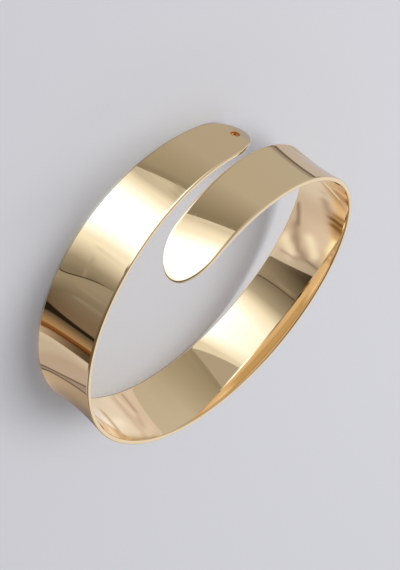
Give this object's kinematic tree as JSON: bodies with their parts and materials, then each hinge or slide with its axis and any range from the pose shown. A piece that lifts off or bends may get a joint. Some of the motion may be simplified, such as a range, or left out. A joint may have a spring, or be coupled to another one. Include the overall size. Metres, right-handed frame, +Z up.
{
  "type": "upper arm cuff",
  "caption": "Springy open arm cuff: a polished brass strip with rounded, tapered ends, bent into an oval loop so its ends pass side by side; the low end has a small hole.",
  "frame": {"origin": "middle of the cuff's box, on the table that it lies on", "axes": "+X along the loop's long way, -Y towards the side where the two ends pass each other, +Z up as the cuff lies on its lower rim"},
  "size_m": [0.0808, 0.0646, 0.0319],
  "materials": {
    "gold_plate": "mirror polished, pale gold plated brass"
  },
  "bodies": {
    "root": {"cuff": "gold_plate"}
  },
  "joints": []
}
